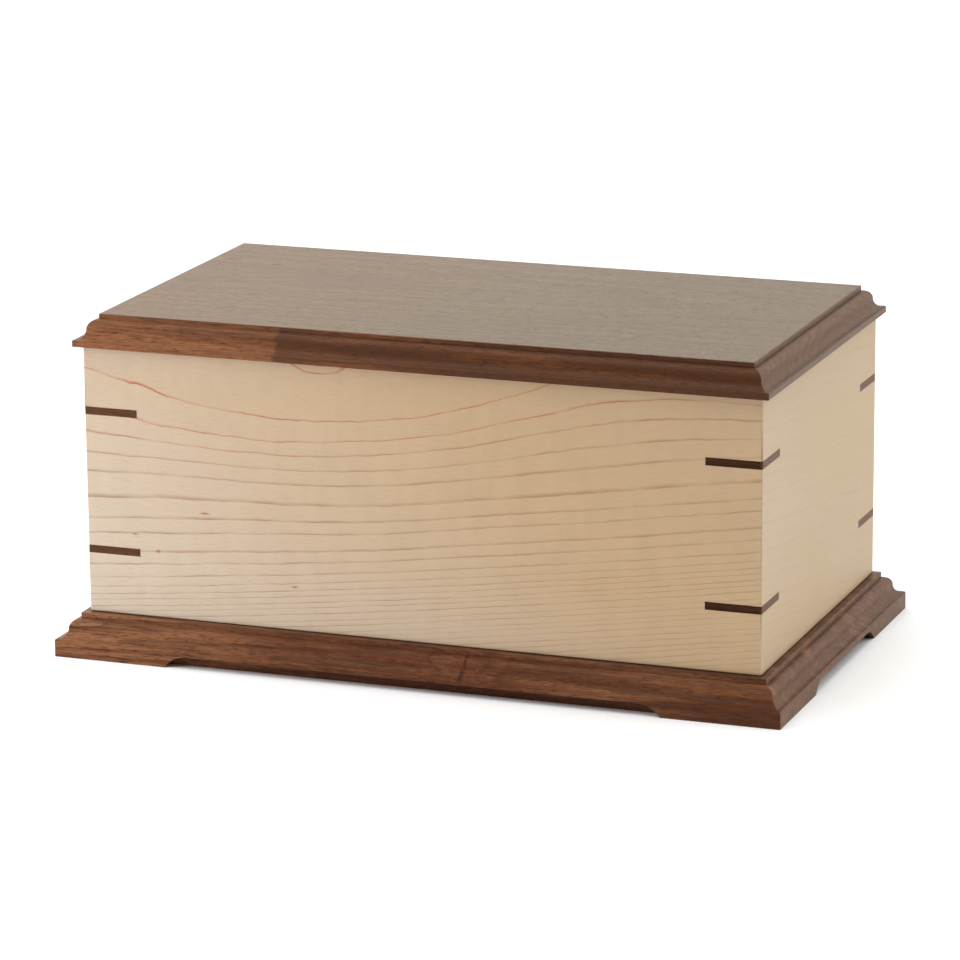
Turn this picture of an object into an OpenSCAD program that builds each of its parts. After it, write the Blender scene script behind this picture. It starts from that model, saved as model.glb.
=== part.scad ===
// Cremation urn box.
// A mitred maple box with walnut splines across its corners stands on a moulded walnut base.
// A moulded walnut lid rests on it and lifts off.
// The long side runs along X, the front faces -Y, and the underside stands at z = 0,
// centred on the origin.

/* [Box] */
// Outside width of the maple box
body_w = 273; // [200:1:400]
// Outside depth of the maple box
body_d = 151.3; // [120:0.1:260]
// Height of the maple boards
body_h = 106; // [80:1:200]
// Thickness of the maple boards
wall = 12.7; // [9:0.1:20]
// Easing of the upright outer corners
corner_r = 0.6; // [0.2:0.1:2]

/* [Splines] */
// Thickness of each spline, one saw cut
spline_t = 3.1; // [2:0.1:6]
// Maple left between a spline and the inside corner
spline_web = 2.4; // [1:0.1:4]
// From the end of the boards to the middle of the nearest spline
spline_inset = 25.4; // [12:0.1:34]

/* [Lid] */
// How far the lid stands out past the box
lid_overhang = 3.2; // [1:0.1:8]
// Height of the lid's upright edge
lid_lip_h = 2.7; // [1.5:0.1:8]
// Height of the upright step above the lid's moulding
lid_step_h = 2.1; // [0.5:0.1:5]
// Depth of the tongue under the lid
tongue_h = 4; // [2:0.1:12]
// Gap all round between the tongue and the boards
tongue_gap = 0.5; // [0.2:0.1:2]

/* [Base] */
// How far the base stands out past the box
base_overhang = 10.8; // [9.5:0.1:20]
// Height of the base's upright edge, feet included
base_lip_h = 6.9; // [6.5:0.1:16]
// Height of the upright step above the base's moulding
base_step_h = 2.3; // [0.5:0.1:5]
// Length of each foot along the edge
foot_len = 46.5; // [20:0.5:50]
// Height of the arches between the feet
arch_h = 4.7; // [2:0.1:6]
// How far the arches are cut into the base
arch_depth = 5.5; // [2:0.1:12]
// Length of the curve at each end of an arch
arch_run = 9; // [6.5:0.5:15]

/* [Moulding] */
// Radius of the moulding's upper round and of its lower cove
ogee_r = 3.6; // [2:0.1:4]
// Width of the ledge at the foot of the step
quirk_w = 0.2; // [0.1:0.1:0.4]
// Width of the flat at the top of the upright edge
lip_flat = 0.6; // [0.5:0.1:1]
// Easing of the upright edge's upper arris
lip_r = 0.5; // [0.1:0.1:0.5]

/* [Hidden] */
$fn = 64;
CORNERS = [
    ["front_left", -1, -1],
    ["front_right", 1, -1],
    ["back_left", -1, 1],
    ["back_right", 1, 1]
];
LEVELS = [
    ["lower", spline_inset],
    ["upper", body_h - spline_inset]
];
SPLINES = [for (corner = CORNERS, level = LEVELS) str("spline_", corner[0], "_", level[0])];
BOARDS = ["board_front", "board_back", "board_left", "board_right"];

maple = "#dcb98f";
walnut = "#5f3a2a";

moulding_w = lip_flat + 2 * ogee_r + quirk_w;
moulding_h = 2 * ogee_r;
base_h = base_lip_h + moulding_h + base_step_h;
base_w = body_w + 2 * base_overhang;
base_d = body_d + 2 * base_overhang;
lid_w = body_w + 2 * lid_overhang;
lid_d = body_d + 2 * lid_overhang;
lid_z = base_h + body_h;
inner_w = body_w - 2 * wall;
inner_d = body_d - 2 * wall;
spline_leg = 2 * wall - sqrt(2) * spline_web;
arch_r = (arch_run * arch_run + arch_h * arch_h) / (2 * arch_h);
past = 1; // how far a cut runs past the wood, or a joined block into it

// What the router takes off an edge. The edge's face is at x = 0, the wood lies on the
// side of -x, and the top of the upright edge is at y = 0.
module router_cut(step_h) {
    top = moulding_h + step_h + past;
    // outside the upper round, up to the step
    difference() {
        translate([-moulding_w, ogee_r])
            square([moulding_w + past, top - ogee_r]);
        translate([-moulding_w - past, 0])
            square([quirk_w + past, moulding_h]);
        translate([-moulding_w + quirk_w, ogee_r])
            circle(ogee_r);
    }
    // the cove
    intersection() {
        translate([-lip_flat, ogee_r])
            circle(ogee_r);
        translate([-lip_flat - ogee_r, 0])
            square([ogee_r, ogee_r]);
    }
    // above the flat of the upright edge
    translate([-lip_flat, 0])
        square([lip_flat + past, ogee_r]);
    // the eased arris
    difference() {
        translate([-lip_r, -lip_r])
            square([lip_r + past, lip_r]);
        translate([-lip_r, -lip_r])
            circle(lip_r);
    }
}

// A board w by d, lying on z = 0, with all four edges moulded. The cuts meet in mitres.
module moulded_board(w, d, lip_h, step_h) {
    difference() {
        translate([-w / 2, -d / 2, 0])
            cube([w, d, lip_h + moulding_h + step_h]);
        for (side = [0, 180]) {
            rotate([0, 0, side])
                translate([w / 2, d / 2 + past, lip_h])
                    rotate([90, 0, 0])
                        linear_extrude(d + 2 * past)
                            router_cut(step_h);
            rotate([0, 0, side + 90])
                translate([d / 2, w / 2 + past, lip_h])
                    rotate([90, 0, 0])
                        linear_extrude(w + 2 * past)
                            router_cut(step_h);
        }
    }
}

// The opening of an arch in an edge of this length, seen square on, centred on x = 0
module arch_outline(edge) {
    half = edge / 2 - foot_len;
    intersection() {
        translate([-half, 0])
            square([2 * half, arch_h]);
        union() {
            translate([arch_run - half, 0])
                square([2 * (half - arch_run), arch_h]);
            for (end = [-1, 1])
                translate([end * (half - arch_run), arch_h - arch_r])
                    circle(arch_r);
        }
    }
    translate([-half, -past])
        square([2 * half, past]);
}

// The arch cut into the edge that faces -Y, which lies at y = -reach
module arch_cut(edge, reach) {
    translate([0, arch_depth - reach, 0])
        rotate([90, 0, 0])
            linear_extrude(arch_depth + past)
                arch_outline(edge);
}

// Plan of the box's outside, with its corners eased
module outside_plan() {
    square([body_w - 2 * corner_r, body_d], center = true);
    square([body_w, body_d - 2 * corner_r], center = true);
    for (corner = CORNERS)
        translate([corner[1] * (body_w / 2 - corner_r), corner[2] * (body_d / 2 - corner_r)])
            circle(corner_r);
}

// One spline's plan at the corner of the given signs, before its own corner is eased
module spline_plan(right, back) {
    translate([right * body_w / 2, back * body_d / 2])
        polygon([[0, 0], [-right * spline_leg, 0], [0, -back * spline_leg]]);
}

// The slots for all the splines, which the splines fill
module spline_slots() {
    for (corner = CORNERS, level = LEVELS)
        translate([0, 0, base_h + level[1] - spline_t / 2])
            linear_extrude(spline_t)
                spline_plan(corner[1], corner[2]);
}

// A mitred board whose outer face has this length and lies at y = -reach before the turn
module mitred_board(length, reach, turn) {
    difference() {
        translate([0, 0, base_h])
            linear_extrude(body_h)
                intersection() {
                    outside_plan();
                    rotate(turn)
                        translate([0, -reach])
                            polygon([
                                [-length / 2, 0],
                                [length / 2, 0],
                                [length / 2 - wall, wall],
                                [wall - length / 2, wall]
                            ]);
                }
        spline_slots();
    }
}

module lid() {
    color(walnut)
        union() {
            translate([0, 0, lid_z])
                moulded_board(lid_w, lid_d, lid_lip_h, lid_step_h);
            // the tongue, which runs up into the board to join it
            translate([tongue_gap - inner_w / 2, tongue_gap - inner_d / 2, lid_z - tongue_h])
                cube([inner_w - 2 * tongue_gap, inner_d - 2 * tongue_gap, tongue_h + past]);
        }
}

module base() {
    color(walnut)
        difference() {
            moulded_board(base_w, base_d, base_lip_h, base_step_h);
            for (side = [0, 180]) {
                rotate([0, 0, side])
                    arch_cut(base_w, base_d / 2);
                rotate([0, 0, side + 90])
                    arch_cut(base_d, base_w / 2);
            }
        }
}

module board_front() {
    color(maple)
        mitred_board(body_w, body_d / 2, 0);
}

module board_back() {
    color(maple)
        mitred_board(body_w, body_d / 2, 180);
}

module board_left() {
    color(maple)
        mitred_board(body_d, body_w / 2, -90);
}

module board_right() {
    color(maple)
        mitred_board(body_d, body_w / 2, 90);
}

module spline(right, back, height) {
    color(walnut)
        translate([0, 0, base_h + height - spline_t / 2])
            linear_extrude(spline_t)
                intersection() {
                    outside_plan();
                    spline_plan(right, back);
                }
}

lid();
base();
board_front();
board_back();
board_left();
board_right();
for (corner = CORNERS, level = LEVELS)
    spline(corner[1], corner[2], level[1]);
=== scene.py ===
import math
from itertools import chain, cycle

import bmesh
import bpy
from mathutils import Euler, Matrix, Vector


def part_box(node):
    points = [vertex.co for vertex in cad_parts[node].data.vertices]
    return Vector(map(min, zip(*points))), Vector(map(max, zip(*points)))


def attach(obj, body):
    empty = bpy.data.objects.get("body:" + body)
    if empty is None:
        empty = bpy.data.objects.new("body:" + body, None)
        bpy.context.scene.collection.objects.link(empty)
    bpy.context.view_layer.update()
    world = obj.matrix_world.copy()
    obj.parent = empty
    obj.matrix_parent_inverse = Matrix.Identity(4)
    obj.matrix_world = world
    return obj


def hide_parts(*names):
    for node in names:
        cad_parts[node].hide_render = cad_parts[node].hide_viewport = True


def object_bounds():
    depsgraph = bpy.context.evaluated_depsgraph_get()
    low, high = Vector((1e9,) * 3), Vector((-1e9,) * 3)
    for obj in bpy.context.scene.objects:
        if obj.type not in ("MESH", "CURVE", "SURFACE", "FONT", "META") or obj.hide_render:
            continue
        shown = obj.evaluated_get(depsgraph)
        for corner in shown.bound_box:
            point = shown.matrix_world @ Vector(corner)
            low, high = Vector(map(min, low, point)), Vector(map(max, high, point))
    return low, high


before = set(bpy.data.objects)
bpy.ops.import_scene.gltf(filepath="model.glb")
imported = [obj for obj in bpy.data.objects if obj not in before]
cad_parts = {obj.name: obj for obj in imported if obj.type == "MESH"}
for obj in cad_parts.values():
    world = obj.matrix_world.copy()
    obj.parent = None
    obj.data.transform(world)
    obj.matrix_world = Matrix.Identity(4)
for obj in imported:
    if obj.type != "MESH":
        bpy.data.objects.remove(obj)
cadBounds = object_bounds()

mm = 0.001
near = 0.001 * mm    # closer than this counts as touching
objectLow, objectHigh = cadBounds


# sRGB hex to the linear colour that the nodes work in
def linear(code):
    parts = [int(code[i:i + 2], 16) / 255 for i in (1, 3, 5)]
    return [p / 12.92 if p <= 0.04045 else ((p + 0.055) / 1.055) ** 2.4 for p in parts] + [1.0]


# adds a node, sets or links its inputs, and hands back one of its outputs
def addNode(tree, kind, inputs, out=0, **settings):
    node = tree.nodes.new("ShaderNode" + kind)
    for key, value in settings.items():
        setattr(node, key, value)
    for key, value in inputs.items():
        if isinstance(value, bpy.types.NodeSocket):
            tree.links.new(value, node.inputs[key])
        else:
            node.inputs[key].default_value = value
    return node.outputs[out] if node.outputs else None


def newMaterial(name):
    material = bpy.data.materials.new(name)
    material.use_nodes = True
    material.node_tree.nodes.clear()
    return material, material.node_tree


# A cut is one piece's wood. It has its own millimetres: x along the grain, y in from the face that
# shows, and z up. turn faces it another way, and seed gives it noise of its own. heart is a point
# in the middle of the log, which leans by lean degrees, and its rings are cones drawn out by taper.
# Waves are (length, width, amount) and swells (x, z, length, height, amount). The rings start at
# firstRing from the heart and are ringWidths wide, and then outerWidths over and over.

# carries the object's coordinates into a cut's own; reach is from the middle to the face
def woodPlace(tree, turn, reach):
    place = addNode(tree, "TexCoord", {}, out="Object")
    return addNode(tree, "Mapping", {
        "Vector": place,
        "Scale": (1 / mm, 1 / mm, 1 / mm),
        "Rotation": (0, 0, -math.radians(turn)),
        "Location": (0, reach / mm, 0),
    })


# noise drawn out along the grain; length and width are the size of a streak in millimetres
def streaks(tree, place, length, width, seed, detail=2.0):
    drawn = addNode(tree, "Mapping", {
        "Vector": place,
        "Scale": (1 / length, 1 / width, 1 / width),
        "Location": (seed * 7.3, seed * 3.1, seed),
    })
    return addNode(tree, "TexNoise", {"Vector": drawn, "Scale": 1.0, "Detail": detail})


# a soft oval patch, seen square on: 1 in its middle, falling to 0 at its rim
def spotAt(tree, place, middle, radii):
    spot = addNode(tree, "Mapping", {
        "Vector": place,
        "Location": (middle[0], 0, middle[1]),
        "Scale": (radii[0], 1000, radii[1]),
    }, vector_type="TEXTURE")
    spot = addNode(tree, "VectorMath", {0: spot}, out="Value", operation="LENGTH")
    return addNode(tree, "MapRange", {
        "Value": spot, "From Min": 1.0, "From Max": 0.0,
    }, interpolation_type="SMOOTHSTEP")


# Distance from the heart of the log in millimetres, on long cones round it, a little wavy, and
# swollen or pinched in places where a branch once grew.
def logRadius(tree, place, cut):
    fromHeart = addNode(tree, "Mapping", {
        "Vector": place,
        "Location": cut["heart"],
        "Rotation": (0, math.radians(cut["lean"]), 0),
        "Scale": (cut["taper"], 1, 1),
    }, vector_type="TEXTURE")
    radius = addNode(tree, "VectorMath", {0: fromHeart}, out="Value", operation="LENGTH")
    for length, width, amount in cut["waves"]:
        wave = streaks(tree, place, length, width, cut["seed"] + length)
        wave = addNode(tree, "Math", {0: wave, 1: 0.5}, operation="SUBTRACT")
        radius = addNode(
            tree, "Math", {0: wave, 1: 2 * amount, 2: radius}, operation="MULTIPLY_ADD",
        )
    for x, z, length, height, amount in cut["swells"]:
        inside = spotAt(tree, place, (x, z), (length, height))
        radius = addNode(
            tree, "Math", {0: inside, 1: amount, 2: radius}, operation="MULTIPLY_ADD",
        )
    return radius


# counts the yearly rings outwards from their widths in millimetres
def ringCount(tree, radius, cut):
    edges = [cut["firstRing"]]
    for width in chain(cut["ringWidths"], cycle(cut["outerWidths"])):
        edges.append(edges[-1] + width)
        if edges[-1] > cut["lastRing"]:
            break
    first, last, rings = edges[0], edges[-1], len(edges) - 1
    along = addNode(tree, "MapRange", {"Value": radius, "From Min": first, "From Max": last})
    count = addNode(tree, "FloatCurve", {"Value": along})
    curve = count.node.mapping.curves[0]
    for i, edge in enumerate(edges[1:-1], 1):
        curve.points.new((edge - first) / (last - first), i / rings)
    for point in curve.points:
        point.handle_type = "VECTOR"
    count.node.mapping.update()
    return addNode(tree, "Math", {0: count, 1: float(rings)}, operation="MULTIPLY")


mapleLook = dict(
    pale="#c2b1a0",
    tan="#ba9c79",
    line="#916a48",
    redLine="#ab5b38",
    dash="#b08a62",
    fleck="#a05c38",
    # painted shade along the foot of each board, over the base
    seam="#4a2c18",
    seamHeight=0.3,
    seamShare=0.9,
    ior=1.45,
    roughness=(0.41, 0.47),
    grainDepth=0.006,
)


# Hard maple, flat-sawn, planed, sanded and satin-lacquered: creamy tan with thin reddish ring
# lines, very fine short dashes along the grain, a faint shimmer across it and a low, even gloss.
def satinMaple(name, cut, reach):
    look = mapleLook
    material, tree = newMaterial(name)
    place = woodPlace(tree, cut["turn"], reach)
    radius = logRadius(tree, place, cut)
    count = ringCount(tree, radius, cut)
    across = addNode(tree, "Math", {0: count}, operation="FRACT")
    ring = addNode(tree, "Math", {0: count}, operation="FLOOR")
    luck = addNode(tree, "TexWhiteNoise", {"W": ring}, noise_dimensions="1D")

    # Ground colour, from pale to tan along tanWay between the two distances of paleEnd, with a slow
    # drift of its own, and a little darker late in each year. The pale left end is partly the
    # wood's own and partly a painted sheen, and the tan towards the top right is partly painted
    # shade.
    toTan = addNode(tree, "VectorMath", {
        0: place, 1: cut["tanWay"],
    }, out="Value", operation="DOT_PRODUCT")
    toTan = addNode(tree, "MapRange", {
        "Value": toTan, "From Min": cut["paleEnd"][0], "From Max": cut["paleEnd"][1],
        "To Min": -0.1, "To Max": 0.9,
    })
    drift = streaks(tree, place, 120, 26, cut["seed"] + 2)
    drift = addNode(tree, "Math", {0: drift, 1: 0.25, 2: toTan}, operation="MULTIPLY_ADD")
    drift = addNode(tree, "Math", {0: across, 1: 0.1, 2: drift}, operation="MULTIPLY_ADD")
    drift = addNode(tree, "MapRange", {"Value": drift, "From Min": 0.12, "From Max": 0.92})
    colour = addNode(tree, "Mix", {
        0: drift, 6: linear(look["pale"]), 7: linear(look["tan"]),
    }, out=2, data_type="RGBA")

    # The thin dark line that ends each year's growth. The inner rings' lines are fine and red,
    # and they turn wider, browner and softer over fade, a pair of distances from the heart.
    share = addNode(tree, "MapRange", {
        "Value": luck, "To Min": cut["lineShare"][0], "To Max": cut["lineShare"][1],
    })
    wider = addNode(tree, "MapRange", {
        "Value": radius, "From Min": cut["fade"][0], "From Max": cut["fade"][1],
        "To Min": 0.55, "To Max": 1.8,
    })
    share = addNode(tree, "Math", {0: share, 1: wider}, operation="MULTIPLY")
    start = addNode(tree, "Math", {0: 1.0, 1: share}, operation="SUBTRACT")
    line = addNode(tree, "MapRange", {
        "Value": across, "From Min": start, "From Max": 1.0,
    }, interpolation_type="SMOOTHSTEP")
    strength = addNode(tree, "MapRange", {
        "Value": radius, "From Min": cut["fade"][0], "From Max": cut["fade"][1],
        "To Min": cut["lineStrength"][0], "To Max": cut["lineStrength"][1],
    })
    patch = streaks(tree, place, 18, 7, cut["seed"] + 11)
    patch = addNode(tree, "MapRange", {
        "Value": patch, "From Min": 0.36, "From Max": 0.64, "To Min": 0.35, "To Max": 1.1,
    })
    inked = addNode(tree, "Math", {0: strength, 1: patch}, operation="MULTIPLY")
    inked = addNode(tree, "Math", {0: inked, 1: line}, operation="MULTIPLY", use_clamp=True)
    redness = addNode(tree, "MapRange", {
        "Value": radius, "From Min": cut["fade"][0], "From Max": cut["fade"][1],
        "To Min": 1.0, "To Max": 0.0,
    })
    lineColour = addNode(tree, "Mix", {
        0: redness, 6: linear(look["line"]), 7: linear(look["redLine"]),
    }, out=2, data_type="RGBA")
    colour = addNode(tree, "Mix", {0: inked, 6: colour, 7: lineColour}, out=2, data_type="RGBA")

    # vessels show as short fine dashes; real ones are 0.1 mm wide, drawn at 0.3 mm to show
    dashes = streaks(tree, place, cut["dashLength"], 0.3, cut["seed"] + 5, detail=1.0)
    dashed = addNode(tree, "MapRange", {
        "Value": dashes, "From Min": 0.58, "From Max": 0.75, "To Max": cut["dashShare"],
    })
    colour = addNode(tree, "Mix", {
        0: dashed, 6: colour, 7: linear(look["dash"]),
    }, out=2, data_type="RGBA")

    # mineral flecks, each (x, z, length, width)
    for x, z, length, width in cut["flecks"]:
        fleck = spotAt(tree, place, (x, z), (0.7 * length, 0.7 * width))
        colour = addNode(tree, "Mix", {
            0: fleck, 6: colour, 7: linear(look["fleck"]),
        }, out=2, data_type="RGBA")

    # lighter between the dashes, where the grain's waves shimmer, with painted light low on the
    # board, where the floor's light falls, and painted shade higher up under the lid
    dashShimmerAndPaintedLight = addNode(tree, "MapRange", {
        "Value": dashes, "From Min": 0.42, "From Max": 0.25, "To Max": 0.12 * cut["dashShare"],
    })
    width, height, amount = cut["shimmer"]
    shimmer = streaks(tree, place, width, height, cut["seed"] + 17, detail=1.0)
    shimmer = addNode(tree, "MapRange", {
        "Value": shimmer, "From Min": 0.3, "From Max": 0.7,
        "To Min": 1 - amount, "To Max": 1 + amount,
    })
    dashShimmerAndPaintedLight = addNode(tree, "Math", {0: dashShimmerAndPaintedLight, 1: shimmer}, operation="ADD")
    # painted light and shade by height, from the cut's pair of amounts, which also set the board's
    # overall tone
    foot, head = (corner.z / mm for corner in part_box("board_front"))
    up = addNode(tree, "SeparateXYZ", {0: place}, out="Z")
    level = addNode(tree, "MapRange", {
        "Value": up, "From Min": foot, "From Max": head,
        "To Min": cut["lightness"][0], "To Max": cut["lightness"][1],
    })
    dashShimmerAndPaintedLight = addNode(tree, "Math", {0: dashShimmerAndPaintedLight, 1: level}, operation="MULTIPLY")
    colour = addNode(tree, "VectorMath", {0: colour, 3: dashShimmerAndPaintedLight}, operation="SCALE")

    # painted shade: a dark line along the foot of the board, over the base, where the joint lies
    # in shade
    seam = addNode(tree, "MapRange", {
        "Value": up, "From Min": foot + look["seamHeight"] + 0.5,
        "From Max": foot + look["seamHeight"], "To Max": look["seamShare"],
    })
    colour = addNode(tree, "Mix", {
        0: seam, 6: colour, 7: linear(look["seam"]),
    }, out=2, data_type="RGBA")

    gloss = addNode(tree, "MapRange", {
        "Value": dashes, "From Min": 0.3, "From Max": 0.7,
        "To Min": look["roughness"][0], "To Max": look["roughness"][1],
    })
    relief = addNode(tree, "Math", {0: dashes, 1: inked}, operation="SUBTRACT")
    bump = addNode(tree, "Bump", {
        "Height": relief, "Strength": 0.5, "Distance": look["grainDepth"] * mm,
    })
    shader = addNode(tree, "BsdfPrincipled", {
        "Base Color": colour, "Roughness": gloss, "Normal": bump, "IOR": look["ior"],
    })
    addNode(tree, "OutputMaterial", {"Surface": shader})
    return material


walnutLook = dict(
    late="#4a2a18",
    pore="#2c170d",
    poreShare=0.7,
    sheen="#fffff0",
    sheenRoughness=0.25,
    # colour of the x-facing faces: end grain, partly painted light
    endGrain="#7f4e2c",
    # the pale colour of the painted sheen on the lid's top
    bleached="#755b42",
    ior=1.24,
    roughness=(0.4, 0.56),
    poreDepth=0.05,
)


# A sudden change of figure part way along the front, as beside a knot. The wood is the changed
# colour from start to end, within depth of the front, and darker for a little way past the end.
def changeFigure(tree, place, alongX, depthMask, cut, colour):
    change = cut["change"]
    ragged = streaks(tree, place, 3, 3, cut["seed"] + 8)
    ragged = addNode(tree, "Math", {0: ragged, 1: 5.0, 2: alongX}, operation="MULTIPLY_ADD")
    changed = addNode(tree, "MapRange", {
        "Value": ragged, "From Min": change["end"] + change["over"], "From Max": change["end"],
    })
    begun = addNode(tree, "MapRange", {
        "Value": alongX, "From Min": change["start"] - 25, "From Max": change["start"] + 25,
    })
    onFront = addNode(tree, "Math", {0: depthMask, 1: begun}, operation="MULTIPLY")
    mottle = streaks(tree, place, 7, 2.2, cut["seed"] + 9, detail=3.0)
    mottle = addNode(tree, "MapRange", {
        "Value": mottle, "From Min": 0.35, "From Max": 0.6,
        "To Min": 0.6 * change["share"], "To Max": change["share"],
    })
    shown = addNode(tree, "Math", {0: changed, 1: onFront}, operation="MULTIPLY")
    shown = addNode(tree, "Math", {0: shown, 1: mottle}, operation="MULTIPLY")
    colour = addNode(tree, "Mix", {
        0: shown, 6: colour, 7: linear(change["colour"]),
    }, out=2, data_type="RGBA")

    # darker wood just past the change, thinning out along the grain
    beside = addNode(tree, "MapRange", {
        "Value": ragged, "From Min": change["end"] + 3, "From Max": change["end"] + 30,
        "To Min": change["beside"], "To Max": 0.0,
    })
    unchanged = addNode(tree, "Math", {0: 1.0, 1: changed}, operation="SUBTRACT")
    beside = addNode(tree, "Math", {0: beside, 1: unchanged}, operation="MULTIPLY")
    beside = addNode(tree, "Math", {0: beside, 1: onFront}, operation="MULTIPLY")
    return addNode(tree, "Mix", {
        0: beside, 6: colour, 7: linear(walnutLook["late"]),
    }, out=2, data_type="RGBA")


# Black walnut, planed and routed, then oiled: brown from cocoa to reddish, darker towards the
# end of each ring, with long soft streaks and open pores that catch as short dark scratches.
# A thin oil finish leaves the fronts matt and deep, and shines only at a low angle.
def oiledWalnut(name, cut, reach):
    look = walnutLook
    material, tree = newMaterial(name)
    place = woodPlace(tree, 0, reach)
    radius = logRadius(tree, place, cut)
    count = ringCount(tree, radius, cut)
    across = addNode(tree, "Math", {0: count}, operation="FRACT")
    alongX = addNode(tree, "SeparateXYZ", {0: place}, out="X")
    inward = addNode(tree, "SeparateXYZ", {0: place}, out="Y")
    up = addNode(tree, "SeparateXYZ", {0: place}, out="Z")

    # broad colour streaks over a painted fall-off of light, lighter towards the left end and
    # shaded towards the right end, by the cut's pair of amounts
    slow = addNode(tree, "MapRange", {
        "Value": alongX, "From Min": -140, "From Max": 140,
        "To Min": cut["endTones"][0], "To Max": cut["endTones"][1],
    })
    drift = streaks(tree, place, 90, 6, cut["seed"] + 1, detail=3.0)
    drift = addNode(tree, "Math", {0: drift, 1: slow}, operation="ADD")
    drift = addNode(tree, "MapRange", {"Value": drift, "From Min": 0.35, "From Max": 0.65})
    colour = addNode(tree, "Mix", {
        0: drift, 6: linear(cut["dark"]), 7: linear(cut["light"]),
    }, out=2, data_type="RGBA")

    if "change" in cut:
        depth = cut["change"]["depth"]
        depthMask = addNode(tree, "MapRange", {
            "Value": inward, "From Min": depth + 0.3, "From Max": depth,
        })
        colour = changeFigure(tree, place, alongX, depthMask, cut, colour)
        # pin knots on the front
        for x, z, width, height in cut["knots"]:
            knot = spotAt(tree, place, (x, z), (width, height))
            knot = addNode(tree, "Math", {0: knot, 1: depthMask}, operation="MULTIPLY")
            colour = addNode(tree, "Mix", {
                0: knot, 6: colour, 7: linear(look["pore"]),
            }, out=2, data_type="RGBA")

    # the faces that look along x: partly the end grain that they cut across, and partly painted
    # light, lighter and redder than end grain is, where these sides catch the light
    facing = addNode(tree, "TexCoord", {}, out="Normal")
    facing = addNode(tree, "SeparateXYZ", {0: facing}, out="X")
    facing = addNode(tree, "Math", {0: facing}, operation="ABSOLUTE")
    facing = addNode(tree, "MapRange", {
        "Value": facing, "From Min": 0.3, "From Max": 0.6, "To Max": cut["endGrain"],
    })
    colour = addNode(tree, "Mix", {
        0: facing, 6: colour, 7: linear(look["endGrain"]),
    }, out=2, data_type="RGBA")

    # each ring darkens outwards, then starts pale again, with finer dark streaks along it
    late = addNode(tree, "MapRange", {
        "Value": across, "From Min": 0.35, "From Max": 1.0, "To Max": cut["lateShare"],
    }, interpolation_type="SMOOTHSTEP")
    fine = streaks(tree, place, 14, 0.7, cut["seed"] + 3)
    fine = addNode(tree, "MapRange", {
        "Value": fine, "From Min": 0.4, "From Max": 0.7, "To Max": 0.5,
    })
    darker = addNode(tree, "Math", {0: late, 1: fine}, operation="ADD", use_clamp=True)

    # painted sheen: the very top is mixed towards a pale grey-brown that stands in for the
    # low-angle reflection over it, and the streaks fade under it too
    if cut["bleached"]:
        top = objectHigh.z / mm
        topSheen = addNode(tree, "MapRange", {
            "Value": up, "From Min": top - 0.4, "From Max": top - 0.1, "To Max": cut["bleached"],
        })
        colour = addNode(tree, "Mix", {
            0: topSheen, 6: colour, 7: linear(look["bleached"]),
        }, out=2, data_type="RGBA")
        fade = addNode(tree, "Math", {0: topSheen, 1: -0.4, 2: 1.0}, operation="MULTIPLY_ADD")
        darker = addNode(tree, "Math", {0: darker, 1: fade}, operation="MULTIPLY")
    colour = addNode(tree, "Mix", {
        0: darker, 6: colour, 7: linear(look["late"]),
    }, out=2, data_type="RGBA")

    # open pores, thicker early in each ring; real ones are 0.15 mm wide, drawn at 0.27 mm to show
    pores = streaks(tree, place, 3.6, 0.27, cut["seed"] + 6, detail=1.0)
    early = addNode(tree, "MapRange", {"Value": across, "To Min": 0.05, "To Max": -0.02})
    pores = addNode(tree, "Math", {0: pores, 1: early}, operation="ADD")
    pores = addNode(tree, "MapRange", {"Value": pores, "From Min": 0.57, "From Max": 0.68})
    shade = addNode(tree, "Math", {0: pores, 1: look["poreShare"]}, operation="MULTIPLY")
    colour = addNode(tree, "Mix", {
        0: shade, 6: colour, 7: linear(look["pore"]),
    }, out=2, data_type="RGBA")

    gloss = addNode(tree, "MapRange", {
        "Value": pores, "To Min": look["roughness"][0], "To Max": look["roughness"][1],
    })
    relief = addNode(tree, "Math", {0: 1.0, 1: pores}, operation="SUBTRACT")
    bump = addNode(tree, "Bump", {
        "Height": relief, "Strength": 0.6, "Distance": look["poreDepth"] * mm,
    })
    shader = addNode(tree, "BsdfPrincipled", {
        "Base Color": colour, "Roughness": gloss, "Normal": bump, "IOR": look["ior"],
        "Specular Tint": linear(cut["glaze"]), "Sheen Weight": cut["sheen"],
        "Sheen Roughness": look["sheenRoughness"], "Sheen Tint": linear(look["sheen"]),
    })
    addNode(tree, "OutputMaterial", {"Surface": shader})
    return material


# puts a finished bmesh into the scene in place of one CAD node
def placePiece(name, bm, node, material):
    mesh = bpy.data.meshes.new(name)
    bm.to_mesh(mesh)
    bm.free()
    mesh.shade_smooth()
    mesh.set_sharp_from_angle(angle=math.radians(35))
    mesh.materials.append(material)
    piece = bpy.data.objects.new(name, mesh)
    bpy.context.scene.collection.objects.link(piece)
    # keeps wide flats flat beside their eased arrises
    flats = piece.modifiers.new("flats", "WEIGHTED_NORMAL")
    flats.keep_sharp = True
    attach(piece, "root")
    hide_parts(node)
    return piece


# rounds a set of edges over
def ease(bm, edges, size, segments):
    bmesh.ops.bevel(
        bm, geom=edges, offset=size, offset_type="OFFSET", segments=segments, profile=0.5,
        affect="EDGES", material=-1, clamp_overlap=False,
    )


# a bmesh of a CAD node's own shape, welded and with its flats made whole again
def copyOf(node):
    bm = bmesh.new()
    bm.from_mesh(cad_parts[node].data)
    bmesh.ops.remove_doubles(bm, verts=bm.verts, dist=2 * near)
    bmesh.ops.dissolve_limit(
        bm, angle_limit=math.radians(0.5), verts=bm.verts, edges=bm.edges, delimit=set(),
    )
    return bm


# the edge that the lid and the base share, in millimetres
mouldingLook = dict(
    ogeeRadius=3.6,
    quirkWidth=0.2,
    lipFlat=0.6,
    lipRound=0.6,
    arcSteps=12,
    easedBy=0.35,
    easeSteps=3,
)


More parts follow.
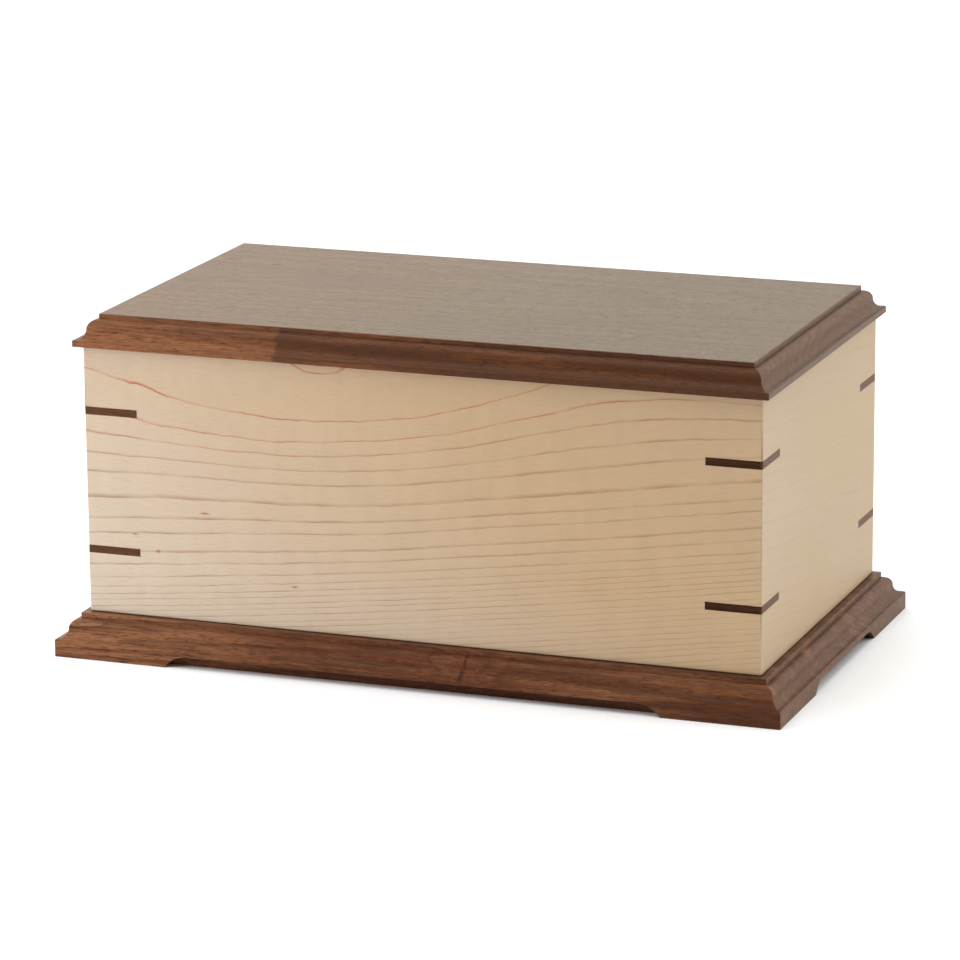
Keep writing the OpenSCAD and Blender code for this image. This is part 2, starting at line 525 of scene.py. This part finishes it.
# the moulding's outline as (in, up) steps from the lip's face, each arc a quarter turn
def mouldingOutline(stepHeight):
    look = mouldingLook
    lip, flat, ogee = look["lipRound"], look["lipFlat"], look["ogeeRadius"]
    middle = flat + 2 * ogee
    quarter = [math.pi / 2 * i / look["arcSteps"] for i in range(look["arcSteps"] + 1)]
    arris = [(lip - lip * math.cos(a), lip * math.sin(a) - lip) for a in quarter]
    cove = [(flat + ogee * math.sin(a), ogee - ogee * math.cos(a)) for a in quarter]
    top = [(middle - ogee * math.cos(a), ogee + ogee * math.sin(a)) for a in quarter[1:]]
    ledge = (middle + look["quirkWidth"], 2 * ogee)
    return arris + cove + top + [ledge, (ledge[0], ledge[1] + stepHeight)]


# A board whose four edges are moulded, built upwards by insets. low and high are its corners,
# bottom is its underside, and what the moulding doesn't take is its upright lip.
def mouldedBoard(low, high, bottom, stepHeight):
    outline = mouldingOutline(stepHeight)
    lipTop = high.z - outline[-1][1] * mm
    bm = bmesh.new()
    bmesh.ops.create_cube(bm, size=1)
    size = (high.x - low.x, high.y - low.y, lipTop + outline[0][1] * mm - bottom)
    middle = ((high.x + low.x) / 2, (high.y + low.y) / 2, bottom + size[2] / 2)
    bmesh.ops.scale(bm, vec=size, verts=bm.verts)
    bmesh.ops.translate(bm, vec=middle, verts=bm.verts)
    face = max(bm.faces, key=lambda f: f.calc_center_median().z)
    for here, there in zip(outline, outline[1:]):
        bmesh.ops.inset_region(
            bm, faces=[face], thickness=(there[0] - here[0]) * mm,
            depth=(there[1] - here[1]) * mm, use_even_offset=True,
        )
    return bm


# edges that run along neither side of the board: its upright corners and the mitres over them
def mitreEdges(bm):
    found = []
    for edge in bm.edges:
        run = edge.verts[0].co - edge.verts[1].co
        upright = abs(run.x) < near and abs(run.y) < near
        slanted = abs(run.x) > near and abs(run.y) > near
        if upright or slanted:
            found.append(edge)
    return found


def edgesAtHeight(bm, height):
    return [e for e in bm.edges if all(abs(v.co.z - height) < near for v in e.verts)]


lidLook = dict(
    stepHeight=2.1,
    tongueGap=0.5,
    tongueEase=0.5,
    seed=4.0, heart=(-40, 95, 40), lean=1.2, taper=9,
    waves=((70, 20, 1.6), (14, 5, 0.35)), swells=(),
    firstRing=30, lastRing=200, ringWidths=(), outerWidths=(3.2, 4.6, 2.7, 3.9, 5.2, 3.0),
    dark="#532e17", light="#824c29", endTones=(0.2, -0.3), lateShare=0.5, endGrain=0.6,
    change=dict(colour="#8f5a38", start=-400, end=-55, over=2, depth=8.4, share=0.85, beside=0.65),
    knots=(),
    sheen=0.32, glaze="#ffffff", bleached=0.66,
)


# the lid: one moulded board, with the shallow tongue that locates it in the box
def makeLid():
    look = lidLook
    low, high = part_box("lid")
    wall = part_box("board_front")
    underside = wall[1].z
    bm = mouldedBoard(low, high, underside, look["stepHeight"])
    rims = edgesAtHeight(bm, high.z) + edgesAtHeight(bm, underside)
    ease(bm, mitreEdges(bm) + rims, mouldingLook["easedBy"] * mm, mouldingLook["easeSteps"])
    face = min(bm.faces, key=lambda f: f.calc_center_median().z)
    # the tongue stands in from the lid's edge as far as the wall's inner face, and the gap
    tongueInset = high.y + wall[1].y + look["tongueGap"] * mm
    inset = tongueInset - mouldingLook["easedBy"] * mm
    bmesh.ops.inset_region(bm, faces=[face], thickness=inset, use_even_offset=True)
    bmesh.ops.inset_region(bm, faces=[face], thickness=0, depth=underside - low.z)
    ease(bm, list(face.edges), look["tongueEase"] * mm, 2)
    material = oiledWalnut("walnutOiledLid", look, high.y)
    placePiece("urnLid", bm, "lid", material)


baseLook = dict(
    stepHeight=2.3,
    footLength=46.5,
    archHeight=4.7,
    archDepth=5.5,
    archRun=9.0,
    archSteps=24,
    seed=9.0, heart=(60, 70, -75), lean=-1.5, taper=9,
    waves=((60, 18, 1.4), (12, 5, 0.3)), swells=((21, 7, 24, 14, 5.0),),
    firstRing=30, lastRing=220, ringWidths=(), outerWidths=(2.6, 3.7, 2.2, 3.1, 4.3, 2.4),
    dark="#5a3017", light="#8f5d3c", endTones=(0.3, -0.08), lateShare=0.5, endGrain=0.45,
    change=dict(colour="#5f2e17", start=-75, end=40, over=50, depth=11, share=0.8, beside=0.0),
    knots=((21.6, 12.5, 0.9, 4.5), (20.6, 7.5, 1.9, 3.2)),
    sheen=0.2, glaze="#ffffff", bleached=0.0,
)


# a low bar that cuts an arch into the edge facing -Y, its two upper ends rounded as the arch is
def archCutter(edge, reach):
    look = baseLook
    rise, run = look["archHeight"], look["archRun"]
    radius = (run * run + rise * rise) / (2 * rise)
    bar = bmesh.new()
    bmesh.ops.create_cube(bar, size=1)
    length = edge + 2 * (radius - run - look["footLength"]) * mm
    size = (length, (look["archDepth"] + 5) * mm, 2 * radius * mm)
    middle = (0, look["archDepth"] * mm - size[1] / 2 - reach, (rise - radius) * mm)
    bmesh.ops.scale(bar, vec=size, verts=bar.verts)
    bmesh.ops.translate(bar, vec=middle, verts=bar.verts)
    ends = [
        e for e in edgesAtHeight(bar, rise * mm)
        if abs(e.verts[0].co.x - e.verts[1].co.x) < near
    ]
    ease(bar, ends, radius * mm, look["archSteps"])
    return bar


# cuts low arches into the four edges of a board that stands on its underside
def cutArches(bm, low, high):
    mesh = bpy.data.meshes.new("uncut")
    bm.to_mesh(mesh)
    bm.free()
    board = bpy.data.objects.new("uncut", mesh)
    bpy.context.scene.collection.objects.link(board)
    used = [board]
    sides = [(high.x - low.x, high.y), (high.y - low.y, high.x)] * 2
    for i, (edge, reach) in enumerate(sides):
        bar = archCutter(edge, reach)
        turned = Euler((0, 0, math.radians(90 * i))).to_matrix()
        bmesh.ops.rotate(bar, matrix=turned, verts=bar.verts)
        cutterMesh = bpy.data.meshes.new("cutter")
        bar.to_mesh(cutterMesh)
        bar.free()
        cutter = bpy.data.objects.new("cutter", cutterMesh)
        bpy.context.scene.collection.objects.link(cutter)
        arch = board.modifiers.new("arch", "BOOLEAN")
        arch.object = cutter
        arch.solver = "EXACT"
        used.append(cutter)
    bpy.context.view_layer.update()
    cutMesh = bpy.data.meshes.new_from_object(
        board.evaluated_get(bpy.context.evaluated_depsgraph_get())
    )
    done = bmesh.new()
    done.from_mesh(cutMesh)
    for helper in used:
        bpy.data.objects.remove(helper)
    return done


# the base: one moulded board, with a low arch cut into each edge between its four feet
def makeBase():
    low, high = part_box("base")
    bm = mouldedBoard(low, high, low.z, baseLook["stepHeight"])
    rims = edgesAtHeight(bm, high.z)
    ease(bm, mitreEdges(bm) + rims, mouldingLook["easedBy"] * mm, mouldingLook["easeSteps"])
    bm = cutArches(bm, low, high)
    material = oiledWalnut("walnutOiledBase", baseLook, high.y)
    placePiece("urnBase", bm, "base", material)


boardLook = dict(
    shadowEase=0.6,
    front=dict(
        turn=0, seed=1.0, heart=(150, 62.5, 170.9), lean=-9.64, taper=6.29,
        waves=((32, 16, 0.35), (12, 6, 0.32), (5, 4, 0.13)),
        swells=((-45, 85.1, 101, 53, -2.7), (82.7, 148.9, 103.5, 77.2, 8.6),
                (-83, 68.2, 99.5, 23.9, 2.0), (-136, 128.4, 60, 22, -3.0),
                (-41, 121, 27, 10, -2.5)),
        firstRing=65, lastRing=170,
        ringWidths=(4.6, 8.0, 3.95, 3.2, 4.05, 4.3, 6.1, 4.8, 3.65, 5.3, 3.7, 3.8, 2.8),
        outerWidths=(2.4, 1.8, 2.2, 1.6, 2.1),
        lineShare=(0.08, 0.13), lineStrength=(1.0, 0.7), fade=(79, 89),
        tanWay=(1, 0, 1.4), paleEnd=(-120, 205), lightness=(1.06, 0.95),
        shimmer=(6, 22, 0.02), dashLength=3.5, dashShare=0.35,
        flecks=((-87, 59.9, 4.4, 1.0), (-116.5, 49.3, 3.3, 0.7), (-106.9, 43.1, 2.5, 1.4),
                (-50, 33.9, 2.9, 0.9)),
    ),
    right=dict(
        turn=90, seed=2.0, heart=(-140, 30, -30), lean=6.5, taper=6,
        waves=((60, 30, 1.6), (18, 8, 0.5)), swells=(),
        firstRing=30, lastRing=200, ringWidths=(), outerWidths=(5.2, 7.4, 3.8, 6.1, 4.4),
        lineShare=(0.06, 0.12), lineStrength=(0.14, 0.14), fade=(10, 20),
        tanWay=(1, 0, 0), paleEnd=(-330, 40), lightness=(0.97, 0.94),
        shimmer=(26, 34, 0.012), dashLength=14.0, dashShare=0.1, flecks=(),
    ),
    back=dict(
        turn=180, seed=3.0, heart=(30, 70, 10), lean=2.5, taper=7,
        waves=((45, 22, 1.0), (9, 4, 0.25)), swells=(),
        firstRing=50, lastRing=200, ringWidths=(), outerWidths=(4.6, 3.1, 5.2, 3.6, 2.4, 2.8),
        lineShare=(0.08, 0.16), lineStrength=(0.7, 0.5), fade=(60, 110),
        tanWay=(1, 0, 0), paleEnd=(20, 160), lightness=(1.0, 1.0),
        shimmer=(6, 22, 0.02), dashLength=3.5, dashShare=0.35, flecks=(),
    ),
    left=dict(
        turn=270, seed=5.0, heart=(60, 40, 150), lean=-5, taper=6,
        waves=((45, 22, 0.8), (9, 4, 0.2)), swells=(),
        firstRing=30, lastRing=240, ringWidths=(), outerWidths=(2.9, 2.2, 3.3, 1.9, 2.5),
        lineShare=(0.1, 0.2), lineStrength=(0.45, 0.35), fade=(60, 140),
        tanWay=(1, 0, 0), paleEnd=(-60, 100), lightness=(1.0, 1.0),
        shimmer=(26, 34, 0.012), dashLength=14.0, dashShare=0.1, flecks=(),
    ),
)


# one board, whose outer long edges are eased, so that a thin shadow lies over it and under it
def makeBoard(side):
    node = "board_" + side
    low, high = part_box(node)
    axis = 1 if side in ("front", "back") else 0
    reach = max(-low[axis], high[axis])
    bm = copyOf(node)
    rims = []
    for edge in edgesAtHeight(bm, low.z) + edgesAtHeight(bm, high.z):
        out = min(abs(v.co[axis]) for v in edge.verts)
        if out > reach - 0.7 * mm and len(edge.link_faces) == 2:
            rims.append(edge)
    ease(bm, rims, boardLook["shadowEase"] * mm, 3)
    name = "mapleBoard" + side.capitalize()
    material = satinMaple(name + "Satin", boardLook[side], reach)
    placePiece(name, bm, node, material)


splineLook = dict(
    easedBy=0.05,
    seed=12.0, heart=(0, 60, -200), lean=0, taper=9,
    waves=((40, 18, 1.0),), swells=(),
    firstRing=100, lastRing=400, ringWidths=(), outerWidths=(2.6, 3.7, 2.2),
    dark="#2d160c", light="#5a3d28", endTones=(0.3, -0.35), lateShare=0.3, endGrain=0.7,
    sheen=0.0, glaze="#ead4bc", bleached=0.0,
)


# the eight splines, let in flush across the corners
def makeSplines():
    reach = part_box("board_back")[1].y
    material = oiledWalnut("walnutOiledSplines", splineLook, reach)
    for node in sorted(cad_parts):
        if node.startswith("spline_"):
            bm = copyOf(node)
            ease(bm, list(bm.edges), splineLook["easedBy"] * mm, 1)
            name = "".join(part.capitalize() for part in node.split("_"))
            placePiece("walnut" + name, bm, node, material)


studioLook = dict(
    floorSize=6.0,
    floorColour="#f8f6fc",
    skyTint="#f8fdf6",
    skyBright=1.5,
    skyDim=0.06,
    skyTurn=(-0.5, 0.55),
    lens=178.55,
    turn=20.52,
    rise=14.48,
    tilt=-0.47,
    distance=1.868,
    aim=(-2.3, 0.0, -5.5),
    # each light: where it stands from the box's middle in metres, its side, and its power in watts
    lights=dict(
        keyLeft=((-0.5, -0.42, 0.2), 0.3, 1.9),
        overhead=((0.0, -0.3, 1.3), 1.0, 5.0),
        fillRight=((1.8, -0.2, 0.9), 1.4, 0.6),
    ),
)


# a white paper floor, and a world that is white behind and overhead and dim low down in front
def makeRoom():
    look = studioLook
    scene = bpy.context.scene
    bm = bmesh.new()
    bmesh.ops.create_grid(bm, x_segments=1, y_segments=1, size=look["floorSize"])
    bmesh.ops.translate(bm, vec=(0, 0, objectLow.z), verts=bm.verts)
    mesh = bpy.data.meshes.new("floor")
    bm.to_mesh(mesh)
    bm.free()
    floor = bpy.data.objects.new("floor", mesh)
    scene.collection.objects.link(floor)
    material, tree = newMaterial("paperSweep")
    shader = addNode(tree, "BsdfPrincipled", {
        "Base Color": linear(look["floorColour"]), "Roughness": 0.9, "IOR": 1.3,
    })
    addNode(tree, "OutputMaterial", {"Surface": shader})
    mesh.materials.append(material)

    world = bpy.data.worlds.new("studio")
    world.use_nodes = True
    world.node_tree.nodes.clear()
    tree = world.node_tree
    direction = addNode(tree, "TexCoord", {}, out="Generated")
    backUp = addNode(tree, "VectorMath", {
        0: direction, 1: (0, 1, 0.9),
    }, out="Value", operation="DOT_PRODUCT")
    level = addNode(tree, "MapRange", {
        "Value": backUp, "From Min": look["skyTurn"][0], "From Max": look["skyTurn"][1],
        "To Min": look["skyDim"], "To Max": look["skyBright"],
    }, interpolation_type="SMOOTHSTEP")
    sky = addNode(tree, "Background", {"Color": linear(look["skyTint"]), "Strength": level})
    addNode(tree, "OutputWorld", {"Surface": sky})
    scene.world = world


def makeLightsAndCamera():
    look = studioLook
    scene = bpy.context.scene
    middle = (objectLow + objectHigh) / 2
    for name, (place, side, power) in look["lights"].items():
        light = bpy.data.lights.new(name, "AREA")
        light.shape = "SQUARE"
        light.size = side
        light.energy = power
        lamp = bpy.data.objects.new(name, light)
        scene.collection.objects.link(lamp)
        lamp.location = middle + Vector(place)
        lamp.rotation_euler = (-Vector(place)).to_track_quat("-Z", "Y").to_euler()

    turn, rise, tilt = (math.radians(look[k]) for k in ("turn", "rise", "tilt"))
    camera = bpy.data.cameras.new("camera")
    camera.lens = look["lens"]
    eye = bpy.data.objects.new("camera", camera)
    scene.collection.objects.link(eye)
    back = Vector((
        math.sin(turn) * math.cos(rise), -math.cos(turn) * math.cos(rise), math.sin(rise),
    ))
    eye.location = middle + Vector(look["aim"]) * mm + back * look["distance"]
    level = (-back).to_track_quat("-Z", "Y").to_matrix()
    eye.rotation_euler = (level @ Euler((0, 0, tilt)).to_matrix()).to_euler()
    scene.camera = eye
    scene.view_settings.view_transform = "Standard"
    scene.view_settings.look = "None"


makeLid()
print("lid made")
makeBase()
print("base made")
for side in ("front", "right", "back", "left"):
    makeBoard(side)
print("boards made")
makeSplines()
print("splines made")
makeRoom()
makeLightsAndCamera()
print("studio made")

bpy.context.view_layer.update()
